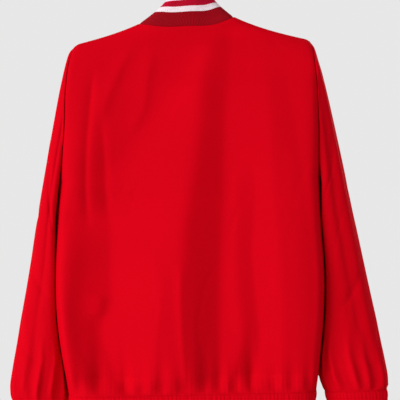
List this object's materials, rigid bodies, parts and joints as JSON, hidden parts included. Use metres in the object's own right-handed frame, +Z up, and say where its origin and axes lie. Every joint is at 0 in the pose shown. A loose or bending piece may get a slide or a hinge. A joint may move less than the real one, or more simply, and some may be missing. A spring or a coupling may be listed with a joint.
{
  "type": "windbreaker jacket on a hanger",
  "caption": "Red windbreaker with a striped knit stand collar, drop shoulders, closed front zip and elastic waistband and cuffs, hanging on a plain hanger.",
  "frame": {"origin": "the seat inside the hanger's hook, where the rail goes", "axes": "+Z up as it hangs; the back faces +Y and the fronts face -Y; the wearer's left is +X"},
  "size_m": [0.6698, 0.1513, 0.8205],
  "materials": {
    "shell": "satin",
    "rib": "matte",
    "zip_tape": "matte",
    "zip_teeth": "gloss",
    "zip_metal": "gloss",
    "hanger": "satin",
    "hook": "polished"
  },
  "bodies": {
    "garment": {"back": "shell", "front_left": "shell", "front_right": "shell", "sleeve_left": "shell", "sleeve_right": "shell", "waistband": "shell", "cuff_left": "shell", "cuff_right": "shell", "collar": "rib", "zip_tape_left": "zip_tape", "zip_tape_right": "zip_tape", "zip_chain": "zip_teeth", "zip_box": "zip_metal", "zip_slider": "zip_metal", "hanger_body": "hanger", "hanger_hook": "hook"},
    "pull": {"zip_pull": "zip_metal"}
  },
  "joints": [
    {"name": "pull_hinge", "type": "hinge", "parent": "garment", "child": "pull", "pos_m": [0, -0.07707, -0.11944], "axis": [-1, 0, 0], "range_deg": [-10, 150]}
  ]
}
